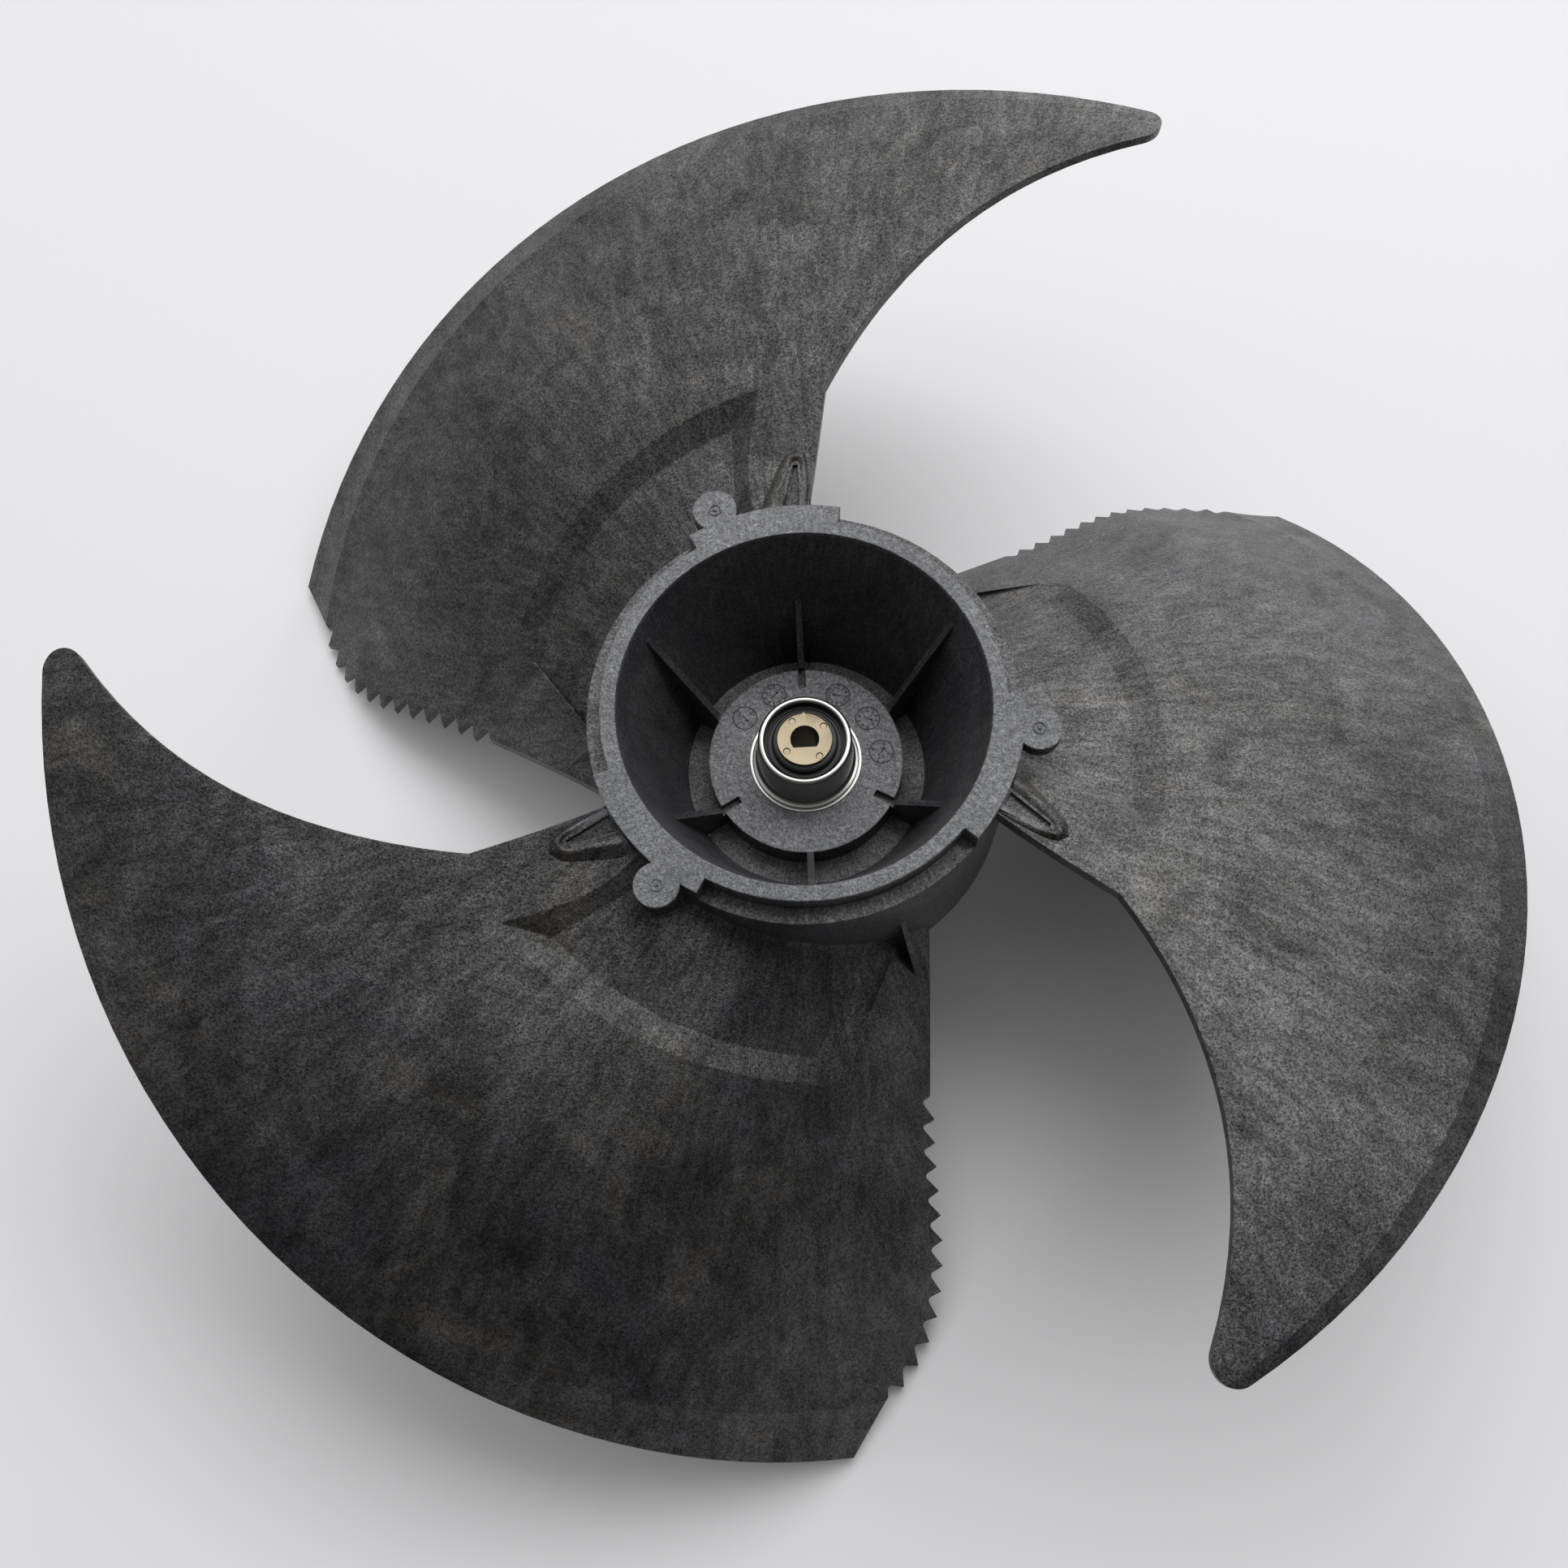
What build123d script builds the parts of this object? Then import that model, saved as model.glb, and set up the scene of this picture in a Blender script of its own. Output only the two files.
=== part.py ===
import os
from math import atan2, cos, degrees, radians, sin, tan

from build123d import *

os.makedirs("parts", exist_ok=True)

# Sizes in mm. The shaft axis is Z, the face of the shaft bush is at z = 0,
# and +Z is the open side of the hub, where the motor stands.
blade_count = 3
blade_pitch = 360 / blade_count
fan_radius = 237.0

# Hub cup
rim_top = 33.4
rim_inner_r = 61.3
rim_wall = 5.1
hub_r = 71.8
hub_bottom = -44.0
hub_wall = 3.4
ledge_drop = 8.5
bowl_foot_r = 43.0
bowl_foot_z = -33.0
bowl_wall = 3.0
disc_r = 34.6
disc_top = -20.6
disc_wall = 3.0
disc_plate = 4.0

# Flange sectors of the rim, and the round moulding ears on them
flange_from = 77.3
flange_to = 119.8
ear_angle = 110.4
ear_reach = 76.3
ear_r = 7.4
ear_height = 6.0
ear_neck = 8.0

# Ribs inside the cup and the slots they leave in the disc
rib_thick = 2.4
low_rib_top = 3.0
high_rib_top = 29.0
rib_foot_drop = 2.0
slot_length = 7.0
slot_width = 2.6
slot_depth = 3.0
back_rib_count = 12
sink = 1.0

# Boss: plated sleeve, rubber ring and shaft bush, from the outside in
sleeve_r = 16.2
sleeve_wall = 1.3
sleeve_lip = 2.3
sleeve_flange_r = 19.9
sleeve_flange = 1.6
sleeve_top = -0.6
rubber_top = -4.0
rubber_collar = 1.9
rubber_collar_rise = 2.2
bush_r = 9.65
bush_length = 27.0
bush_edge = 0.5
shaft_d = 10.0
shaft_flat = 8.0

# Blade stations: share of the span, angle and height at the leading edge, then at the trailing edge
station_root_r = 65.0
station_over = 6.0
stations = [
    (0.0, 86.6, 32.2, 188.0, -34.0),
    (0.185, 83.5, 33.6, 173.7, -41.3),
    (0.358, 80.9, 40.4, 165.5, -49.5),
    (0.531, 72.9, 50.0, 162.6, -61.0),
    (0.703, 65.6, 58.0, 160.0, -77.6),
    (0.875, 57.2, 64.8, 154.6, -87.1),
    (1.0, 51.5, 67.0, 154.4, -89.3),
]
root_thick = 6.4
tip_thick = 3.0
camber_start = 0.57
camber_power = 2.6
tip_band = 17.5
tip_band_start = 0.2
tip_bend_lead = 8.0
tip_bend_trail = 27.0
tip_round = 7.0

# Blade outline in plan, as radius and angle; along the curves, as share of the way to the tip circle and angle
lead_root = (68.0, 86.3)
lead_kink = (117.0, 83.5)
lead_curve = [(0.268, 76.0), (0.518, 69.0), (0.741, 61.8)]
lead_tip_angle = 52.0
trail_root = (68.0, 187.0)
trail_root_end = (122.7, 168.0)
trail_curve = [(0.012, 166.2), (0.298, 162.8), (0.577, 160.2), (0.797, 154.9)]
trail_corner_angle = 151.2
tooth_count = 12
tooth_depth = 5.0
tooth_lean = 0.62
end_step = 3.0
notch_round = 1.3

# Sloped pocket on the hub side of each blade
pocket_depth = 3.0
pocket_slope = 10.0
pocket_side = 0.09
pocket_root_from = 100.0
pocket_root_to = 174.0
pocket_edge_from = 94.8
pocket_edge_to = 152.0
pocket_edge_r = 120.0
pocket_edge_r_end = 116.0
pocket_over = 1.0
mitre_step = 0.2
pocket_lift = 20.0
pocket_steps = 5

# Raised frame on the leading edge root and upright gusset at the trailing edge root
frame_rise = 1.4
frame_width = 1.8
frame_end_r = 90.0
frame_end_from = 87.6
frame_end_to = 90.6
frame_root_from = 87.0
frame_root_to = 95.0
gusset_angle = 174.5
gusset_rise = 20.0
gusset_reach = 15.0
gusset_thick = 2.0


def polar(radius, angle):
    return (radius * cos(radians(angle)), radius * sin(radians(angle)))


def camber(s):
    return s * (camber_start + (1 - camber_start) * max(s, 0) ** camber_power)


def on_way(start_r, end_r, share):
    return start_r + (end_r - start_r) * share


def station_r(share):
    return on_way(station_root_r, fan_radius + station_over, share)


with BuildLine() as lead_guide:
    Spline(*[(station_r(share), angle, z) for share, angle, z, _, _ in stations])
with BuildLine() as trail_guide:
    Spline(*[(station_r(share), angle, z) for share, _, _, angle, z in stations])
lead = lead_guide.edge()
trail = trail_guide.edge()


def blade_at(t, s):
    """Radius, angle and height of the blade's upper face at span t and chord s."""
    a = lead @ t
    b = trail @ t
    return (a.X + (b.X - a.X) * s, a.Y + (b.Y - a.Y) * s, a.Z + (b.Z - a.Z) * camber(s))


def radial_plane(angle):
    """Plane through the shaft axis: its x is the radius and its y is the height."""
    x, y = polar(1, angle)
    return Plane((0, 0, 0), x_dir=(x, y, 0), z_dir=(y, -x, 0))


def span_at(radius, s):
    low, high = 0.0, 1.0
    for _ in range(20):
        middle = (low + high) / 2
        if blade_at(middle, s)[0] < radius:
            low = middle
        else:
            high = middle
    return low


def height_at(radius, angle):
    s = 0.5
    for _ in range(6):
        t = span_at(radius, s)
        s = (angle - (lead @ t).Y) / ((trail @ t).Y - (lead @ t).Y)
    return blade_at(span_at(radius, s), s)[2]


def steps(start, end, count):
    return [start + (end - start) * i / count for i in range(count + 1)]


# The band's faces reach past the blade's faces on every side
blade_span, blade_chord = steps(0.02, 0.98, 10), steps(-0.12, 1.12, 12)
band_span, band_chord = steps(0, 1, 10), steps(-0.18, 1.18, 12)


def thickness(t):
    return root_thick + (tip_thick - root_thick) * t


def blade_face(under):
    """The blade's upper face, or its lower face when under is 1."""
    rows = []
    for t in blade_span:
        row = []
        for s in blade_chord:
            r, angle, z = blade_at(t, s)
            row.append(Vector(*polar(r, angle), z - under * thickness(t)))
        rows.append(row)
    return Face.make_surface_from_array_of_points(rows)


def band_face(under):
    """The bent tip band, carried on inwards above the blade."""
    columns = []
    for s in band_chord:
        fold_r = fan_radius - tip_band * (tip_band_start + (1 - tip_band_start) * s)
        fold_t = span_at(fold_r, s)
        fold_z = blade_at(fold_t, s)[2]
        before = blade_at(span_at(fold_r - 6, s), s)[2]
        bend = tip_bend_lead + (tip_bend_trail - tip_bend_lead) * s
        fall = (before - fold_z) / 6 + tan(radians(bend))
        column = []
        for t in band_span:
            r, angle, _ = blade_at(t, s)
            z = fold_z - fall * (r - fold_r) - under * thickness(fold_t)
            column.append(Vector(*polar(r, angle), z))
        columns.append(column)
    return Face.make_surface_from_array_of_points(columns)


below = 200.0

with BuildPart() as upper_bound:
    extrude(blade_face(0), amount=below, dir=(0, 0, -1))
    extrude(band_face(0), amount=below, dir=(0, 0, -1), mode=Mode.INTERSECT)

with BuildPart() as lower_bound:
    extrude(blade_face(1), amount=below, dir=(0, 0, -1))
    extrude(band_face(1), amount=below, dir=(0, 0, -1), mode=Mode.INTERSECT)

with BuildPart() as frame_bound:
    extrude(blade_face(-frame_rise / root_thick), amount=2 * frame_rise, dir=(0, 0, -1))

with BuildLine() as trail_base:
    Spline(*[polar(on_way(trail_root_end[0], fan_radius, share), a) for share, a in trail_curve])
base = trail_base.edge()
notches = [base @ (i / tooth_count) for i in range(tooth_count + 1)]
tips = []
for i in range(tooth_count):
    place = (i + tooth_lean) / tooth_count
    along = base % place
    tips.append(base @ place + Vector(-along.Y, along.X) * tooth_depth)
teeth = [polar(*trail_root_end), notches[0]]
for i in range(tooth_count):
    teeth.extend([tips[i], notches[i + 1]])
last = base % 1
trail_end = notches[-1] + last * end_step + Vector(-last.Y, last.X) * end_step
teeth.append(trail_end)


def pocket_line(share):
    """Upright plane across the pocket from the hub to its outer edge, and its points in plan."""
    root = Vector(*polar(hub_r - 2 * sink, pocket_root_from + (pocket_root_to - pocket_root_from) * share))
    edge_angle = pocket_edge_from + (pocket_edge_to - pocket_edge_from) * share
    edge_r = pocket_edge_r + (pocket_edge_r_end - pocket_edge_r) * share
    edge = Vector(*polar(edge_r, edge_angle))
    out = (edge - root).normalized()
    return Plane(root, x_dir=out, z_dir=(out.Y, -out.X, 0)), (edge - root).length


def pocket_section(share, depth):
    """Corner points of the pocket's section: floor, sloped outer wall, open top."""
    plane, edge = pocket_line(share)

    def blade_top(distance):
        place = plane.from_local_coords((distance, 0, 0))
        return height_at(Vector(place.X, place.Y).length, degrees(atan2(place.Y, place.X)) % 360)

    foot = edge - pocket_slope * depth / pocket_depth - mitre_step
    outer = edge + pocket_slope * pocket_over / pocket_depth
    return [
        (0, blade_top(0) - depth),
        (foot, blade_top(foot) - depth),
        (outer, blade_top(outer) + pocket_over),
        (outer, blade_top(outer) + pocket_lift),
        (0, blade_top(0) + pocket_lift),
    ]


floor_cuts = [(share, pocket_depth) for share in steps(pocket_side, 1 - pocket_side, pocket_steps - 1)]
side_over = pocket_side * pocket_over / pocket_depth
lead_side = [(-side_over, -pocket_over), floor_cuts[0]]
trail_side = [floor_cuts[-1], (1 + side_over, -pocket_over)]

with BuildPart() as pocket:
    for cuts in (lead_side, floor_cuts, trail_side):
        for share, depth in cuts:
            with BuildSketch(pocket_line(share)[0]):
                with BuildLine():
                    Polyline(*pocket_section(share, depth), close=True)
                make_face()
        loft(ruled=len(cuts) == 2)

with BuildPart() as root_frame:
    with BuildSketch(Plane.XY.offset(-below / 2)):
        with BuildLine():
            Polyline(
                polar(hub_r - sink, frame_root_from),
                polar(frame_end_r, frame_end_from),
                polar(frame_end_r, frame_end_to),
                polar(hub_r - sink, frame_root_to),
                close=True,
            )
        make_face()
        offset(amount=-frame_width, mode=Mode.SUBTRACT)
    extrude(amount=below)
    add(frame_bound.part, mode=Mode.INTERSECT)

lead_tip = polar(fan_radius, lead_tip_angle)
lead_points = [polar(on_way(lead_kink[0], fan_radius, share), a) for share, a in lead_curve]
rounds = [
    (notches, notch_round),
    ([Vector(lead_tip)], tip_round),
]


def is_near(vertex, corners):
    return any((vertex.center() - corner).length < 0.01 for corner in corners)


with BuildPart() as blade:
    with BuildSketch(Plane.XY.offset(-below / 2)) as outline:
        with BuildLine():
            Line(polar(*lead_root), polar(*lead_kink))
            Spline(polar(*lead_kink), *lead_points, lead_tip)
            RadiusArc(lead_tip, polar(fan_radius, trail_corner_angle), -fan_radius)
            Line(polar(fan_radius, trail_corner_angle), trail_end)
            Polyline(*reversed(teeth))
            Line(polar(*trail_root_end), polar(*trail_root))
            Line(polar(*trail_root), polar(*lead_root))
        make_face()
        for corners, radius in rounds:
            fillet([v for v in outline.vertices() if is_near(v, corners)], radius)
    extrude(amount=below)
    add(upper_bound.part, mode=Mode.INTERSECT)
    add(lower_bound.part, mode=Mode.SUBTRACT)
    add(pocket.part, mode=Mode.SUBTRACT)
    add(root_frame.part)
    with BuildSketch(radial_plane(gusset_angle)):
        gusset_foot = height_at(hub_r, gusset_angle)
        with BuildLine():
            Polyline(
                (hub_r - sink, gusset_foot - sink),
                (hub_r + gusset_reach, height_at(hub_r + gusset_reach, gusset_angle) - sink),
                (hub_r - sink, gusset_foot + gusset_rise),
                close=True,
            )
        make_face()
    extrude(amount=gusset_thick / 2, both=True)

bowl_slope = (rim_inner_r - bowl_foot_r) / (rim_top - bowl_foot_z)


def bowl_r(z):
    """Radius of the cup's inner face at height z."""
    return rim_inner_r - (rim_top - z) * bowl_slope


ledge_z = rim_top - ledge_drop
ledge_under = ledge_z - hub_wall
disc_under = disc_top - disc_plate
bowl_under = bowl_foot_z - bowl_wall
rib_foot = disc_top - rib_foot_drop
rib_angles = [90 + i * blade_pitch for i in range(blade_count)]

with BuildPart() as fan_moulding:
    with BuildSketch(Plane.XZ):
        with BuildLine():
            Polyline(
                (hub_r, hub_bottom),
                (hub_r, ledge_z),
                (rim_inner_r + rim_wall, ledge_z),
                (rim_inner_r + rim_wall, rim_top),
                (rim_inner_r, rim_top),
                (bowl_foot_r, bowl_foot_z),
                (disc_r, bowl_foot_z),
                (disc_r, disc_top),
                (sleeve_r, disc_top),
                (sleeve_r, disc_under),
                (disc_r - disc_wall, disc_under),
                (disc_r - disc_wall, bowl_under),
                (bowl_foot_r + bowl_wall, bowl_under),
                (bowl_r(ledge_under) + bowl_wall, ledge_under),
                (hub_r - hub_wall, ledge_under),
                (hub_r - hub_wall, hub_bottom),
                close=True,
            )
        make_face()
    revolve(axis=Axis.Z)
    # Ribs between the disc and the cup, low ones in line with the disc slots
    for angle in rib_angles:
        for turn, top in ((0, low_rib_top), (blade_pitch / 2, high_rib_top)):
            with BuildSketch(radial_plane(angle + turn)):
                with BuildLine():
                    Polyline(
                        (disc_r - sink, bowl_foot_z - sink),
                        (disc_r - sink, rib_foot),
                        (bowl_r(top) + sink, top),
                        (bowl_foot_r + sink, bowl_foot_z - sink),
                        close=True,
                    )
                make_face()
            extrude(amount=rib_thick / 2, both=True)
    # Ribs behind the cup, inside the outer wall
    for i in range(back_rib_count):
        with BuildSketch(radial_plane(i * 360 / back_rib_count)):
            with BuildLine():
                Polyline(
                    (bowl_foot_r + sink, bowl_under + sink),
                    (hub_r - sink, bowl_under + sink),
                    (hub_r - sink, ledge_under + sink),
                    (bowl_r(ledge_under) + sink, ledge_under + sink),
                    close=True,
                )
            make_face()
        extrude(amount=rib_thick / 2, both=True)
    # Blades
    with PolarLocations(0, blade_count):
        add(blade.part)
    # Flange sectors at the full height of the rim
    for i in range(blade_count):
        turn = i * blade_pitch
        with BuildSketch(Plane.XY.offset(ledge_under)):
            with BuildLine():
                inner_arc = CenterArc((0, 0), rim_inner_r + sink, flange_from + turn, flange_to - flange_from)
                outer_arc = CenterArc((0, 0), hub_r, flange_from + turn, flange_to - flange_from)
                Line(inner_arc @ 0, outer_arc @ 0)
                Line(inner_arc @ 1, outer_arc @ 1)
            make_face()
        extrude(amount=rim_top - ledge_under)
    # Ears and their necks
    for i in range(blade_count):
        turn = ear_angle + i * blade_pitch
        with BuildSketch(Plane.XY.offset(rim_top - ear_height)):
            with Locations(polar(ear_reach, turn)):
                Circle(ear_r)
            with Locations(Location((*polar((ear_reach + rim_inner_r + sink) / 2, turn), 0), (0, 0, turn))):
                Rectangle(ear_reach - rim_inner_r - sink, ear_neck)
        extrude(amount=ear_height)
    # Slots in the disc
    for angle in rib_angles:
        with BuildSketch(Plane.XY.offset(disc_top - slot_depth)):
            with Locations(Location((*polar(disc_r - slot_length / 2 + sink / 2, angle), 0), (0, 0, angle))):
                Rectangle(slot_length + sink, slot_width)
        extrude(amount=slot_depth, mode=Mode.SUBTRACT)

with BuildPart() as steel_sleeve:
    with BuildSketch(Plane.XZ):
        with BuildLine():
            Polyline(
                (sleeve_r, disc_under),
                (sleeve_r, disc_top),
                (sleeve_flange_r, disc_top),
                (sleeve_flange_r, disc_top + sleeve_flange),
                (sleeve_r, disc_top + sleeve_flange),
                (sleeve_r, sleeve_top),
                (sleeve_r - sleeve_lip, sleeve_top),
                (sleeve_r - sleeve_lip, sleeve_top - sleeve_wall),
                (sleeve_r - sleeve_wall, sleeve_top - sleeve_wall),
                (sleeve_r - sleeve_wall, disc_under),
                close=True,
            )
        make_face()
    revolve(axis=Axis.Z)

with BuildPart() as rubber_ring:
    with BuildSketch(Plane.XZ):
        with BuildLine():
            Polyline(
                (bush_r, disc_under),
                (sleeve_r - sleeve_wall, disc_under),
                (sleeve_r - sleeve_wall, rubber_top),
                (bush_r + rubber_collar, rubber_top),
                (bush_r + rubber_collar, rubber_top + rubber_collar_rise),
                (bush_r, rubber_top + rubber_collar_rise),
                close=True,
            )
        make_face()
    revolve(axis=Axis.Z)

with BuildPart() as shaft_bush:
    with BuildSketch(Plane.XY.offset(-bush_length)):
        Circle(bush_r)
        with BuildSketch(mode=Mode.PRIVATE) as shaft_hole:
            Circle(shaft_d / 2)
            with Locations((0, shaft_d / 2 - shaft_flat)):
                Rectangle(shaft_d, shaft_d, align=(Align.CENTER, Align.MAX), mode=Mode.SUBTRACT)
        add(shaft_hole.sketch, mode=Mode.SUBTRACT)
    extrude(amount=bush_length)
    chamfer(shaft_bush.edges().filter_by(GeomType.CIRCLE).sort_by(SortBy.RADIUS)[-2:], bush_edge)

fan_moulding.part.label = "fan_moulding"
steel_sleeve.part.label = "steel_sleeve"
rubber_ring.part.label = "rubber_ring"
shaft_bush.part.label = "shaft_bush"

export_step(fan_moulding.part, "parts/fan_moulding.step")
export_step(steel_sleeve.part, "parts/steel_sleeve.step")
export_step(rubber_ring.part, "parts/rubber_ring.step")
export_step(shaft_bush.part, "parts/shaft_bush.step")
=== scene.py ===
import math

import bmesh
import bpy
from mathutils import Matrix, Vector
from mathutils.bvhtree import BVHTree


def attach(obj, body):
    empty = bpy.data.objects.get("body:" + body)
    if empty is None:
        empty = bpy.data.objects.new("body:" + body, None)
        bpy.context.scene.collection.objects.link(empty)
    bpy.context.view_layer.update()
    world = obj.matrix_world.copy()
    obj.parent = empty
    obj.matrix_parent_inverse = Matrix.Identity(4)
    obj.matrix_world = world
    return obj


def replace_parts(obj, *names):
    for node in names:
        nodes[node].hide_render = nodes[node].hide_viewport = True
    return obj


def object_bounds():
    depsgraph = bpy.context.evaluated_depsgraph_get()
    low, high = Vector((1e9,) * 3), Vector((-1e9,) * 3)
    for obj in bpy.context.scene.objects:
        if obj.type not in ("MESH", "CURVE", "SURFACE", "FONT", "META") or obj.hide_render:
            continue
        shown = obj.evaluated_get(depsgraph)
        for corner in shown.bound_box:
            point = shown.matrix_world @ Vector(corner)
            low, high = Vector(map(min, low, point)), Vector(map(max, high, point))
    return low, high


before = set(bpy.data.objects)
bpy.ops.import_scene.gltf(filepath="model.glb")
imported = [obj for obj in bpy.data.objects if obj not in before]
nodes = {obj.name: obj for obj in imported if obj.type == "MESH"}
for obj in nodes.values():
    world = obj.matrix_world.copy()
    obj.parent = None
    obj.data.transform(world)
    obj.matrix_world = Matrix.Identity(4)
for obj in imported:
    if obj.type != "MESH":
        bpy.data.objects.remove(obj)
cad_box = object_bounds()
scene = bpy.context.scene
MM = 0.001

# Sizes in mm and angles in degrees, on the frame of the shaft bush: the axis is Z and the bush
# face is at z = 0
disc_top = -20.6
sleeve_foot = -24.6
sleeve_bore_r = 14.9
bush_r = 9.65
bush_end = -27.0
bush_edge = 0.35
bore_r = 5.0
bore_flat_y = -3.0
dimple_r = 1.25
dimple_depth = 0.45
dimple_taper = 0.8
dimple_places = [(7.9, 121), (8.0, 34), (7.6, 213), (8.0, 307)]
rim_top = 33.4
ear_reach = 76.3
ear_angles = [110.4, 230.4, 350.4]
gate_ring = (1.6, 2.2)
gate_ring_rise = 0.35
gate_pip = (1.0, 0.6)
gate_pip_height = 0.8
dial_ring_r = 27.1
dial_r = 4.5
dial_line = 0.4
dial_rise = 0.06
dial_numbers_r = 3.15
number_height = 2.5
crowded_number_height = 1.9
most_large_numbers = 4
number_boldness = 0.05
arrow_length = 3.0
arrow_width = 0.4
arrow_head_r = 0.75

# Ridge around the slot at each blade's root: outer foot, crest and inner foot as radius and angle,
# and the crest's height over the blade
blade_turns = (0, 120, 240)
hairpin = [
    ((72.0, 102.0), (72.0, 96.0), (72.0, 93.2), 3.0),
    ((78.0, 98.6), (78.0, 94.2), (78.0, 92.0), 2.6),
    ((84.0, 95.6), (84.0, 92.4), (84.0, 90.6), 2.1),
    ((88.5, 93.9), (88.5, 91.1), (88.5, 89.6), 1.8),
    ((93.6, 91.8), (90.5, 90.4), (88.7, 89.4), 1.6),
    ((95.8, 89.1), (91.2, 89.1), (89.0, 89.05), 1.5),
    ((93.2, 86.9), (90.4, 87.8), (88.7, 88.7), 1.5),
    ((88.0, 86.2), (88.0, 87.3), (88.0, 88.6), 1.5),
    ((80.0, 85.8), (80.0, 87.1), (80.0, 88.7), 1.5),
    ((72.0, 85.2), (72.0, 86.9), (72.0, 89.0), 1.5),
]
hairpin_steps = 4
hairpin_swell = 1.6
hairpin_sink = 0.5
hairpin_wall = 0.4
probe_from_z = 100
probe_least_r = 75
root_least_z = 15

# Where the moulding has its paler skin, partly a painted sheen: none at the first limit, all at the
# second
skin_sheen_disc_r = (36, 35)
skin_sheen_disc_z = (-22, -21)
skin_sheen_rim_r = (87, 85)
skin_sheen_rim_z = (31.5, 32.5)
skin_sheen_hub_r = (75, 72)
skin_sheen_hub_share = 0.35

# How meshes are made: points nearer than the weld are one, edges flatter than the crease are smooth
weld = 0.002
crease = 35
same_place = 1e-6
spin_steps = 120


# Colours and materials
def linear(code):
    """An sRGB hex colour as linear RGBA."""
    parts = [int(code[i:i + 2], 16) / 255 for i in (1, 3, 5)]
    return [p / 12.92 if p <= 0.04045 else ((p + 0.055) / 1.055) ** 2.4 for p in parts] + [1.0]


def put(tree, kind, inputs=None, **settings):
    """Adds a node with its settings, and fills its inputs with values or links."""
    made = tree.nodes.new(kind)
    for name, value in settings.items():
        setattr(made, name, value)
    for place, value in (inputs or {}).items():
        if isinstance(value, bpy.types.NodeSocket):
            tree.links.new(value, made.inputs[place])
        else:
            made.inputs[place].default_value = value
    return made


def new_material(name, **constants):
    """A material with these constants on its shader; _ stands for a space in their names."""
    material = bpy.data.materials.new(name)
    material.use_nodes = True
    shader = material.node_tree.nodes["Principled BSDF"]
    for socket, value in constants.items():
        shader.inputs[socket.replace("_", " ")].default_value = value
    return material, material.node_tree, shader


def per_mm(size):
    """Noise scale for features of this size in mm."""
    return 1 / (size * MM)


def colour_steps(ramp, steps):
    """Fills a colour ramp with positions and hex colours."""
    while len(ramp.elements) < len(steps):
        ramp.elements.new(0.5)
    for element, (position, code) in zip(ramp.elements, steps):
        element.position = position
        element.color = linear(code)


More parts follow.
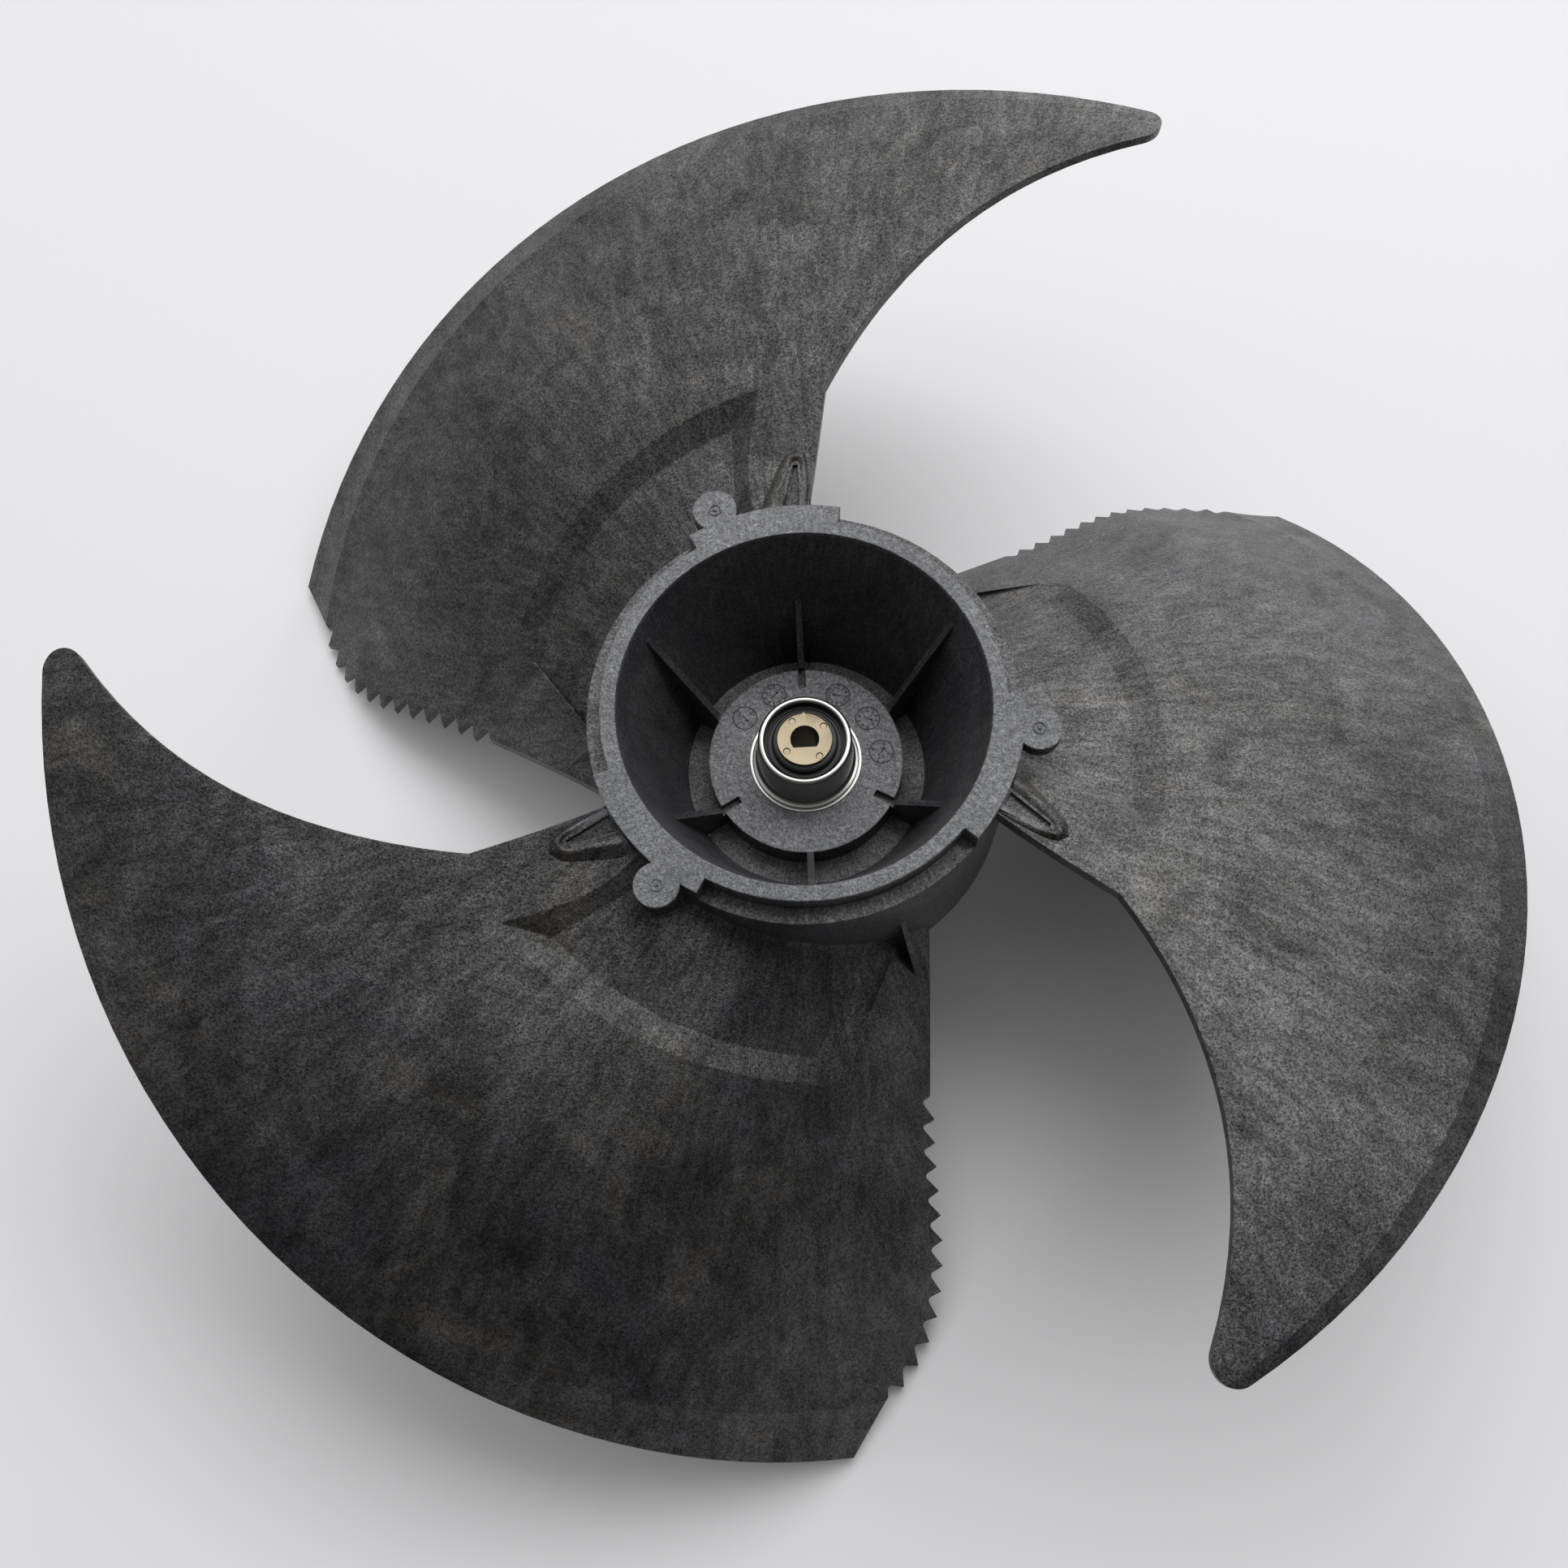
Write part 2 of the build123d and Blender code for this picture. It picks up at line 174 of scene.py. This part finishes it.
def glass_filled_plastic():
    # Polypropylene with short glass fibres, injection moulded. The melt carries the fibres
    # along in clouds, so the blades look like dark felt; the disc and the rim lie against
    # the cold steel of the mould and have a crinkled skin that glints. Its paler colour is
    # partly a painted sheen on these up-facing faces.
    material, tree, shader = new_material("glass_filled_polypropylene_moulded", IOR=1.49)
    place = put(tree, "ShaderNodeTexCoord").outputs["Object"]

    def cloud(size, where=place, **more):
        noise = put(tree, "ShaderNodeTexNoise", {"Vector": where, "Scale": per_mm(size), **more})
        return noise.outputs["Fac"]

    def between(value, low, high, start=0.0, end=1.0):
        return put(tree, "ShaderNodeMapRange", {
            "Value": value, "From Min": low, "From Max": high, "To Min": start, "To Max": end,
        }).outputs["Result"]

    def combine(kind, first, second):
        return put(tree, "ShaderNodeMath", {0: first, 1: second}, operation=kind).outputs["Value"]

    def mix(share, first, second):
        made = put(tree, "ShaderNodeMix", {"Factor": share, "A": first, "B": second})
        return made.outputs["Result"]

    def inside(value, limits, full=1.0):
        none, whole = limits
        return between(value, none * MM, whole * MM, 0.0, full)

    # The skin lies on the disc in the middle and on the rim with its ears, and some of it
    # on the whole hub. Its paler colour is partly a painted sheen.
    flat = put(tree, "ShaderNodeVectorMath", {0: place, 1: (1, 1, 0)}, operation="MULTIPLY")
    reach = put(
        tree, "ShaderNodeVectorMath", {0: flat.outputs["Vector"]}, operation="LENGTH"
    ).outputs["Value"]
    axes = put(tree, "ShaderNodeSeparateXYZ", {"Vector": place}).outputs
    height = axes["Z"]
    disc = combine("MULTIPLY", inside(reach, skin_sheen_disc_r), inside(height, skin_sheen_disc_z))
    rim = combine("MULTIPLY", inside(reach, skin_sheen_rim_r), inside(height, skin_sheen_rim_z))
    hub = inside(reach, skin_sheen_hub_r, skin_sheen_hub_share)
    skin_and_sheen = combine("MAXIMUM", combine("MAXIMUM", disc, rim), hub)

    # Fibres are about 0.02 mm thick in truth; here they are tangled lines several times as
    # thick, on a grain of 0.7 mm, so that they show.
    lines = []
    for size, spread in ((2.1, 1.6), (1.4, 0.9)):
        swirl = cloud(size, Detail=2.0, Roughness=0.55, Distortion=spread)
        line = put(tree, "ShaderNodeMath", {0: swirl, 1: 0.5, 2: 0.03}, operation="COMPARE")
        lines.append(line.outputs["Value"])
    broken = between(cloud(1.3, Detail=1.0), 0.45, 0.6)
    fibres = combine("MULTIPLY", combine("MAXIMUM", *lines), broken)
    grain = between(cloud(0.7, Detail=3.0, Roughness=0.75), 0.3, 0.7)
    felt = combine("ADD", combine("MULTIPLY", grain, 0.75), combine("MULTIPLY", fibres, 0.35))
    felt = mix(between(skin_and_sheen, 0, 1, 0.0, 0.4), felt, 0.45)

    def by_felt(start, end):
        return between(felt, 0.1, 0.75, start, end)

    # The melt runs from the hub to the tips, so streaks fan out along the radius.
    mottle = between(cloud(34, Detail=7.0, Roughness=0.7, Distortion=1.0), 0.34, 0.66, 0.62, 1.4)
    around = combine("MULTIPLY", combine("ARCTAN2", axes["Y"], axes["X"]), 120 * MM)
    flow = put(tree, "ShaderNodeCombineXYZ", {
        "X": around, "Y": combine("MULTIPLY", reach, 0.2), "Z": combine("MULTIPLY", height, 0.2),
    }).outputs["Vector"]
    streak = cloud(2.6, flow, Detail=4.0, Roughness=0.65, Distortion=0.5)
    worn = combine("MULTIPLY", mottle, between(streak, 0.34, 0.66, 0.7, 1.32))
    worn = mix(between(skin_and_sheen, 0, 1, 0.0, 0.7), worn, 1.0)

    # Bluish black with brownish patches, and the paler grey of the skin, partly a painted sheen
    patches = cloud(46, Detail=5.0, Roughness=0.62, Distortion=1.2)
    base = put(tree, "ShaderNodeValToRGB", {"Fac": patches})
    colour_steps(base.color_ramp, [(0.36, "#191a1d"), (0.52, "#202021"), (0.68, "#302d29")])
    toned = put(tree, "ShaderNodeMix", {
        "Factor": skin_and_sheen, "A": base.outputs["Color"], "B": linear("#4c4d51"),
    }, data_type="RGBA").outputs["Result"]
    gain = combine("MULTIPLY", worn, by_felt(0.35, 1.75))
    shade = put(tree, "ShaderNodeVectorMath", {0: toned, "Scale": gain}, operation="SCALE")
    tree.links.new(shade.outputs["Vector"], shader.inputs["Base Color"])
    tree.links.new(by_felt(0.42, 0.32), shader.inputs["Roughness"])
    glint = combine("MULTIPLY", worn, by_felt(0.12, 1.0))
    tree.links.new(glint, shader.inputs["Specular IOR Level"])

    edge = put(tree, "ShaderNodeBevel", {"Radius": 0.6 * MM}, samples=4)
    crinkle = cloud(2.2, Detail=4.0, Roughness=0.65, Distortion=0.8)
    bump = put(tree, "ShaderNodeBump", {
        "Height": mix(skin_and_sheen, felt, crinkle), "Strength": between(skin_and_sheen, 0, 1, 0.25, 0.9),
        "Distance": 0.45 * MM, "Normal": edge.outputs["Normal"],
    })
    tree.links.new(bump.outputs["Normal"], shader.inputs["Normal"])
    return material


def dial_plastic():
    # The thin lines of the date dials, moulded in the same plastic: drawn nearly black, a painted
    # shade that stands for the sunk lines, against the paler skin.
    return new_material("dial_lines_painted_shade", Base_Color=linear("#0b0b0c"), Roughness=0.6)[0]


def plated_steel():
    # Deep-drawn steel with a zinc plate that has gone a little dull: it mirrors the dark cup.
    return new_material(
        "bright_plated_steel_drawn", Base_Color=linear("#9b9a97"), Metallic=1.0, Roughness=0.26
    )[0]


def black_rubber():
    # Bonded rubber cushion, moulded: deep black with a soft sheen.
    return new_material("bonded_rubber_moulded", Base_Color=linear("#0d0d0e"), Roughness=0.5)[0]


def bush_metal():
    # Dull champagne-coloured metal, faced on the end: satin with fine straight tool lines,
    # drawn coarser than they are, so that they show.
    material, tree, shader = new_material(
        "satin_bush_metal_faced", Base_Color=linear("#827865"), Metallic=1.0, Roughness=0.4
    )
    place = put(tree, "ShaderNodeTexCoord").outputs["Object"]
    lie = put(tree, "ShaderNodeMapping", {"Vector": place, "Scale": (1, 0.06, 1)})
    lines = put(tree, "ShaderNodeTexNoise", {
        "Vector": lie.outputs["Vector"], "Scale": per_mm(0.6), "Detail": 3.0,
    })
    bump = put(tree, "ShaderNodeBump", {
        "Height": lines.outputs["Fac"], "Strength": 0.35, "Distance": 0.1 * MM,
    })
    tree.links.new(bump.outputs["Normal"], shader.inputs["Normal"])
    return material


def dress(item, material):
    item.data.materials.clear()
    item.data.materials.append(material)


# Pieces
def polar(radius, angle, z):
    """A place in m from a radius in mm, an angle in degrees and a height in mm."""
    turn = math.radians(angle)
    return Vector((radius * math.cos(turn), radius * math.sin(turn), z)) * MM


def about_z(angle):
    return Matrix.Rotation(math.radians(angle), 4, "Z")


def verts_of(geom):
    return [g for g in geom if isinstance(g, bmesh.types.BMVert)]


def keep(name, shape, material):
    """Closes the shape, smooths its round faces and makes it a piece that rides on the fan."""
    bmesh.ops.remove_doubles(shape, verts=shape.verts, dist=weld * MM)
    bmesh.ops.recalc_face_normals(shape, faces=shape.faces)
    for face in shape.faces:
        face.smooth = True
    for edge in shape.edges:
        edge.smooth = len(edge.link_faces) == 2 and edge.calc_face_angle() < math.radians(crease)
    mesh = bpy.data.meshes.new(name)
    shape.to_mesh(mesh)
    shape.free()
    piece = bpy.data.objects.new(name, mesh)
    scene.collection.objects.link(piece)
    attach(piece, "root")
    dress(piece, material)
    return piece


def round_off(shape, edges, width, segments):
    bmesh.ops.bevel(
        shape, geom=edges, offset=width * MM, offset_type="OFFSET", affect="EDGES",
        segments=segments, profile=0.5, material=-1,
    )


def turned(profile, rounds):
    """Spins a closed profile of radius and height, then rounds the rings of the points named."""
    shape = bmesh.new()
    points = [shape.verts.new((r * MM, 0, z * MM)) for r, z in profile]
    edges = [shape.edges.new((points[i - 1], points[i])) for i in range(len(points))]
    bmesh.ops.spin(
        shape, geom=points + edges, axis=(0, 0, 1), cent=(0, 0, 0),
        angle=2 * math.pi, steps=spin_steps, use_merge=True, use_duplicate=False,
    )
    bmesh.ops.remove_doubles(shape, verts=shape.verts, dist=weld * MM)
    bmesh.ops.recalc_face_normals(shape, faces=shape.faces)

    def on_ring(vert, r, z):
        out, up = vert.co.xy.length - r * MM, vert.co.z - z * MM
        return abs(out) < same_place and abs(up) < same_place

    for (r, z), width, segments in rounds:
        ring = [e for e in shape.edges if all(on_ring(v, r, z) for v in e.verts)]
        round_off(shape, ring, width, segments)
    return shape


def drawn_sleeve():
    lip_out, lip_in = (16.3, -0.6), (13.9, -0.6)
    foot, step, brim = (17.1, -18.9), (18.9, -19.2), (19.9, -19.8)
    profile = [
        (sleeve_bore_r, sleeve_foot), (16.2, sleeve_foot), (16.2, disc_top), (19.9, disc_top), brim,
        (19.0, -19.9), step, foot, lip_out, lip_in, (13.9, -2.0), (sleeve_bore_r, -2.6),
    ]
    rounds = [
        (lip_out, 1.15, 6), (lip_in, 1.0, 6), (foot, 0.9, 4), (step, 0.2, 2), (brim, 0.25, 2),
    ]
    return turned(profile, rounds)


def cushion_ring():
    collar_out, ridge_out, ridge_in = (11.5, -1.5), (13.2, -3.4), (12.5, -3.4)
    profile = [
        (bush_r, sleeve_foot), (sleeve_bore_r, sleeve_foot), (sleeve_bore_r, -4.2), (13.2, -4.2),
        ridge_out, ridge_in, (12.5, -4.0), (11.5, -4.0), collar_out, (bush_r, -1.2),
    ]
    rounds = [(collar_out, 1.0, 5), (ridge_out, 0.3, 3), (ridge_in, 0.3, 3)]
    return turned(profile, rounds)


def ring_of(shape, radius, centre, segments):
    made = bmesh.ops.create_circle(
        shape, cap_ends=False, radius=radius * MM, segments=segments,
        matrix=Matrix.Translation(centre),
    )
    return made["verts"]


def loop_edges(verts):
    return list(dict.fromkeys(e for v in verts for e in v.link_edges))


def faced_bush():
    """The bush with its D bore and four shallow round dimples in the face."""
    shape = bmesh.new()
    rims = []
    for z in (0, bush_end):
        outer = ring_of(shape, bush_r, (0, 0, z * MM), 96)
        bore = ring_of(shape, bore_r, (0, 0, z * MM), 72)
        cut = bmesh.ops.bisect_plane(
            shape, geom=bore + loop_edges(bore), plane_co=(0, bore_flat_y * MM, 0),
            plane_no=(0, 1, 0), clear_inner=True,
        )
        corners = verts_of(cut["geom_cut"])
        shape.edges.new(corners)
        bore = [v for v in bore if v.is_valid] + corners
        rims.append((loop_edges(outer), loop_edges(bore)))
    dimples = [loop_edges(ring_of(shape, dimple_r, polar(r, a, 0), 24)) for r, a in dimple_places]
    face_edges = rims[0][0] + rims[0][1] + [e for d in dimples for e in d]
    bmesh.ops.triangle_fill(shape, edges=face_edges, use_beauty=True)
    bmesh.ops.triangle_fill(shape, edges=rims[1][0] + rims[1][1], use_beauty=True)
    for top, bottom in zip(*rims):
        bmesh.ops.bridge_loops(shape, edges=top + bottom)
    for dimple, (r, a) in zip(dimples, dimple_places):
        sunk = bmesh.ops.extrude_edge_only(shape, edges=dimple)["geom"]
        floor_verts = verts_of(sunk)
        floor_edges = [
            g for g in sunk
            if isinstance(g, bmesh.types.BMEdge) and all(v in floor_verts for v in g.verts)
        ]
        bmesh.ops.scale(
            shape, verts=floor_verts, vec=(dimple_taper, dimple_taper, 1),
            space=Matrix.Translation(-polar(r, a, 0)),
        )
        bmesh.ops.translate(shape, verts=floor_verts, vec=(0, 0, -dimple_depth * MM))
        bmesh.ops.contextual_create(shape, geom=floor_edges)
    round_off(shape, [e for e in rims[0][0] if e.is_valid], bush_edge, 3)
    return shape


def add_numeral(shape, text, size, place):
    """Adds a numeral as a thin raised mesh, placed by a matrix."""
    curve = bpy.data.curves.new("numeral", "FONT")
    curve.body = text
    curve.size = size * MM
    curve.align_x = "CENTER"
    curve.align_y = "CENTER"
    curve.extrude = dial_rise * MM
    curve.resolution_u = 2
    curve.offset = number_boldness * MM
    writing = bpy.data.objects.new("numeral", curve)
    flat = bpy.data.meshes.new_from_object(writing)
    flat.transform(place)
    shape.from_mesh(flat)
    bpy.data.objects.remove(writing)
    bpy.data.meshes.remove(flat)


def raised_ring(shape, centre, inner, outer, rise):
    """Adds a flat ring that stands a little above its place."""
    edges = [e for r in (inner, outer) for e in loop_edges(ring_of(shape, r, centre, 48))]
    band = bmesh.ops.bridge_loops(shape, edges=edges)["faces"]
    raised = bmesh.ops.extrude_face_region(shape, geom=band)["geom"]
    bmesh.ops.translate(shape, verts=verts_of(raised), vec=(0, 0, rise * MM))


def date_dials():
    """Five date dials on the disc: a ring, plain numbers inside it and an arrow."""
    digits = [str(i) for i in range(10)]
    months = [str(i) for i in range(1, 13)]
    # The dial's angle on the disc, its numbers, the angle of the first one, and the arrow's angle
    dials = [
        (141.4, ["2", "3", "0", "1"], 130, -50),
        (112.2, digits, 88, 42),
        (62.2, months[-1:] + months[:-1], 140, 170),
        (32.3, digits, 160, -28),
        (3.2, ["4", "1", "2", "3"], 160, 50),
    ]
    shape = bmesh.new()
    for angle, numbers, first, arrow in dials:
        centre = Matrix.Translation(polar(dial_ring_r, angle, disc_top))
        raised_ring(shape, centre.translation, dial_r - dial_line, dial_r, dial_rise)
        crowded = len(numbers) > most_large_numbers
        for i, number in enumerate(numbers):
            turn = first - i * 360 / len(numbers)
            seat = centre @ Matrix.Translation(polar(dial_numbers_r, turn, 0)) @ about_z(turn - 90)
            add_numeral(shape, number, crowded_number_height if crowded else number_height, seat)
        point = centre @ about_z(arrow)
        thickness = 2 * dial_rise * MM
        shaft = Matrix.Diagonal((arrow_length * MM, arrow_width * MM, thickness, 1))
        bmesh.ops.create_cube(shape, size=1.0, matrix=point @ shaft)
        head = point @ Matrix.Translation((arrow_length / 2 * MM, 0, 0)) @ about_z(90)
        bmesh.ops.create_cone(
            shape, cap_ends=True, segments=3, radius1=arrow_head_r * MM, radius2=arrow_head_r * MM,
            depth=thickness, matrix=head,
        )
    return shape


def gate_marks():
    """The small raised ring and pip that the gate leaves on each ear."""
    shape = bmesh.new()
    for angle in ear_angles:
        centre = polar(ear_reach, angle, rim_top)
        raised_ring(shape, centre, *gate_ring, gate_ring_rise)
        bmesh.ops.create_cone(
            shape, cap_ends=True, segments=24, radius1=gate_pip[0] * MM, radius2=gate_pip[1] * MM,
            depth=gate_pip_height * MM, matrix=Matrix.Translation(centre),
        )
    return shape


def root_hairpins():
    """The rounded ridge around the slot at each blade's leading root, laid on the blade."""
    blade = nodes["fan_moulding"]
    surface = BVHTree.FromPolygons(
        [blade.matrix_world @ v.co for v in blade.data.vertices],
        [p.vertices for p in blade.data.polygons],
    )

    def face_height(radius, angle):
        """The blade's height, taken clear of the rim, or None beside the blade."""
        start = polar(max(radius, probe_least_r), angle, probe_from_z)
        hit = surface.ray_cast(start, (0, 0, -1))[0]
        return hit.z / MM if hit and hit.z > root_least_z * MM else None

    upwards = range(0, hairpin_steps + 1)
    downwards = range(hairpin_steps - 1, -1, -1)
    shape = bmesh.new()
    for turn in blade_turns:
        rows = []
        for outer, crest, inner, rise in hairpin:
            inside = face_height(inner[0], inner[1] + turn)
            outside = face_height(outer[0], outer[1] + turn) or inside
            top = (inside + outside) / 2 + rise
            row = []
            for foot, low, steps in ((outer, outside, upwards), (inner, inside, downwards)):
                for step in steps:
                    share = step / hairpin_steps
                    radius, angle = Vector(foot).lerp(Vector(crest), share)
                    lift = math.sin(math.pi / 2 * share) ** hairpin_swell
                    z = (low - hairpin_sink) * (1 - lift) + top * lift
                    row.append(shape.verts.new(polar(radius, angle + turn, z)))
            rows.append(row)
        for near, far in zip(rows, rows[1:]):
            for i in range(len(near) - 1):
                shape.faces.new((near[i], near[i + 1], far[i + 1], far[i]))
    bmesh.ops.subdivide_edges(shape, edges=shape.edges[:], cuts=1, smooth=1.0, use_grid_fill=True)
    bmesh.ops.solidify(shape, geom=shape.faces[:], thickness=hairpin_wall * MM)
    return shape


plastic = glass_filled_plastic()
dial_shade = dial_plastic()
dress(nodes["fan_moulding"], plastic)
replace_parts(keep("drawn_sleeve", drawn_sleeve(), plated_steel()), "steel_sleeve")
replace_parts(keep("cushion_ring", cushion_ring(), black_rubber()), "rubber_ring")
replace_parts(keep("faced_bush", faced_bush(), bush_metal()), "shaft_bush")
# The dial lines carry a painted shade for their sunk grooves
keep("date_dials", date_dials(), dial_shade)
keep("gate_marks", gate_marks(), plastic)
keep("root_hairpins", root_hairpins(), plastic)

# Floor, light and camera, in m. The floor is a matt white sheet, a little grey.
floor_material = new_material("pale_floor", Base_Color=linear("#dcdcde"), Roughness=0.7)[0]
floor_mesh = bpy.data.meshes.new("floor")
sheet = bmesh.new()
bmesh.ops.create_grid(sheet, x_segments=1, y_segments=1, size=6.0)
bmesh.ops.translate(sheet, verts=sheet.verts, vec=(0, 0, cad_box[0].z))
sheet.to_mesh(floor_mesh)
sheet.free()
floor_mesh.materials.append(floor_material)
floor = bpy.data.objects.new("floor", floor_mesh)
scene.collection.objects.link(floor)

# A pale tent on the far side, open and dark on the near side
tent_way = (-0.06, 0.70, 0.71)
tent_edge = (0.44, 0.66)
tent_glow = (0.1, 1.0)
tent_seen = 0.75
world = bpy.data.worlds.new("soft_room")
world.use_nodes = True
room = world.node_tree
way = put(room, "ShaderNodeTexCoord").outputs["Generated"]
facing = put(room, "ShaderNodeVectorMath", {0: way, 1: tent_way}, operation="DOT_PRODUCT")
level = put(room, "ShaderNodeMapRange", {
    "Value": facing.outputs["Value"], "From Min": tent_edge[0], "From Max": tent_edge[1],
    "To Min": tent_glow[0], "To Max": tent_glow[1],
}, interpolation_type="SMOOTHSTEP")
# To the camera alone the tent is pale all round.
seen = put(room, "ShaderNodeLightPath").outputs["Is Camera Ray"]
glow = put(room, "ShaderNodeMix", {"Factor": seen, "A": level.outputs["Result"], "B": tent_seen})
background = room.nodes["Background"]
background.inputs["Color"].default_value = (1, 1, 1, 1)
room.links.new(glow.outputs["Result"], background.inputs["Strength"])
scene.world = world


def soft_lamp(name, place, width, height, power):
    """A rectangular lamp that faces the bush, in m and W."""
    light = bpy.data.lights.new(name, "AREA")
    light.shape = "RECTANGLE"
    light.size = width
    light.size_y = height
    light.energy = power
    lamp = bpy.data.objects.new(name, light)
    lamp.location = place
    lamp.rotation_euler = (-Vector(place)).to_track_quat("-Z", "Y").to_euler()
    scene.collection.objects.link(lamp)


soft_lamp("window", (0.6, 1.35, 2.6), 4.0, 1.7, 68)
soft_lamp("low_panel", (1.38, 2.59, 0.62), 2.4, 0.9, 20)
soft_lamp("left_panel", (-2.91, -0.51, 0.55), 2.0, 0.8, 6)

lens = bpy.data.cameras.new("camera")
lens.sensor_width = 36.0
lens.lens = 35.70
lens.shift_x = 0.0129
lens.shift_y = 0.0217
lens.clip_start = 0.01
camera = bpy.data.objects.new("camera", lens)
camera.location = (0, -0.18911, 0.50121)
camera.rotation_euler = [math.radians(a) for a in (17.752, 2.420, -2.144)]
scene.collection.objects.link(camera)
scene.camera = camera
scene.view_settings.view_transform = "Standard"
